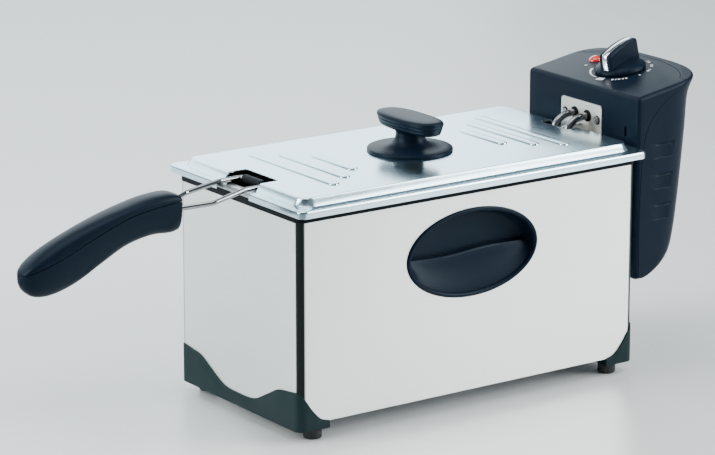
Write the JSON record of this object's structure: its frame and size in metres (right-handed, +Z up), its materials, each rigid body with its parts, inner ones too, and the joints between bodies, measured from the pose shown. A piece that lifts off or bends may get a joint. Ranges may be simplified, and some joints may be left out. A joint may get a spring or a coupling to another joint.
{
  "type": "deep fryer",
  "caption": "Counter-top deep fryer: rectangular steel casing, lift-out pan, wire basket with folding handle, loose lid and lift-off control head.",
  "frame": {"origin": "on the surface it stands on, under the middle of the whole object (basket handle and control head included)", "axes": "+Z up, +X from the basket handle towards the control head, +Y across the casing; the object is symmetric about Y = 0 apart from the lamp, gland and knob"},
  "size_m": [0.6764, 0.2078, 0.2825],
  "materials": {
    "brushed_casing": "vertical brushed grain, bright",
    "lid_steel": "fine satin stainless",
    "pan_steel": "satin drawn stainless",
    "wire_chrome": "bright plated wire",
    "element_steel": "smooth steel tube",
    "plate_steel": "brushed plate",
    "screw_steel": "zinc-plated",
    "sheet_zinc": "plain zinc-plated sheet",
    "black_plastic": "satin moulded black",
    "skirt_plastic": "matt dark grey",
    "grip_plastic": "satin black",
    "rim_plastic": "matt black",
    "foot_rubber": "matt black rubber",
    "insert_chrome": "bright plated strip",
    "lens_red": "clear red lens",
    "lamp_glass": "neon lamp",
    "terminal_ceramic": "glazed ceramic",
    "switch_plastic": "moulded phenolic",
    "brass_part": "turned brass",
    "reset_plastic": "red push button"
  },
  "bodies": {
    "housing": {"casing": "brushed_casing", "base_plate": "sheet_zinc", "end_skirt_right": "skirt_plastic", "end_skirt_left": "skirt_plastic", "foot_left_front": "foot_rubber", "foot_left_back": "foot_rubber", "foot_right_front": "foot_rubber", "foot_right_back": "foot_rubber", "foot_screws": "screw_steel", "top_rim": "rim_plastic", "side_grip_front": "black_plastic", "side_grip_back": "black_plastic", "grip_retainers": "sheet_zinc", "head_guide": "rim_plastic", "guide_screws": "screw_steel", "interlock_pin": "brass_part"},
    "oil_pan": {"oil_pan": "pan_steel"},
    "control_head": {"head_front_cover": "black_plastic", "head_rear_cover": "black_plastic", "head_runners": "rim_plastic", "cover_screws": "screw_steel", "element_plate": "plate_steel", "plate_screws": "screw_steel", "heating_element": "element_steel", "element_straps": "plate_steel", "sensor_capillary": "brass_part", "sensor_bulb": "brass_part", "sensor_clip": "plate_steel", "thermostat": "switch_plastic", "thermostat_frame": "sheet_zinc", "terminal_block": "terminal_ceramic", "terminal_screws": "brass_part", "microswitch": "switch_plastic", "thermal_cutout": "switch_plastic", "cutout_bracket": "sheet_zinc", "cord_gland": "rim_plastic", "indicator_lens": "lens_red", "indicator_lamp": "lamp_glass"},
    "reset_button": {"reset_button": "reset_plastic"},
    "thermostat_knob": {"thermostat_shaft": "sheet_zinc", "thermostat_knob": "grip_plastic", "knob_insert": "insert_chrome"},
    "basket": {"basket_mesh": "wire_chrome", "basket_rim": "wire_chrome", "basket_frame": "wire_chrome", "handle_bracket": "plate_steel", "bracket_rivets": "screw_steel", "drain_hook": "wire_chrome"},
    "basket_handle": {"handle_wires": "wire_chrome", "grip_top": "grip_plastic", "grip_bottom": "grip_plastic", "grip_screws": "screw_steel"},
    "lid": {"lid_shell": "lid_steel", "lid_knob_base": "grip_plastic", "lid_knob_grip": "grip_plastic", "lid_knob_screw": "screw_steel", "lid_knob_washer": "sheet_zinc"}
  },
  "joints": [
    {"name": "pan_lift", "type": "slide", "parent": "housing", "child": "oil_pan", "axis": [0, 0, 1], "range_m": [0, 0.22]},
    {"name": "head_lift", "type": "slide", "parent": "oil_pan", "child": "control_head", "axis": [0, 0, 1], "range_m": [0, 0.2]},
    {"name": "basket_lift", "type": "slide", "parent": "control_head", "child": "basket", "axis": [0, 0, 1], "range_m": [0, 0.2]},
    {"name": "lid_lift", "type": "slide", "parent": "basket", "child": "lid", "axis": [0, 0, 1], "range_m": [0, 0.2]},
    {"name": "handle_fold", "type": "hinge", "parent": "basket", "child": "basket_handle", "pos_m": [-0.10665, 0, 0.2075], "axis": [0, 1, 0], "range_deg": [0, 95]},
    {"name": "knob_turn", "type": "hinge", "parent": "control_head", "child": "thermostat_knob", "pos_m": [0.29585, 0, 0.25506], "axis": [-0.165, 0, 0.9863], "range_deg": [-270, 0]},
    {"name": "reset_press", "type": "slide", "parent": "control_head", "child": "reset_button", "axis": [-1, 0, 0], "range_m": [0, 0.0015], "stiffness_N_per_m": 400, "springref_m": -0.0005}
  ]
}
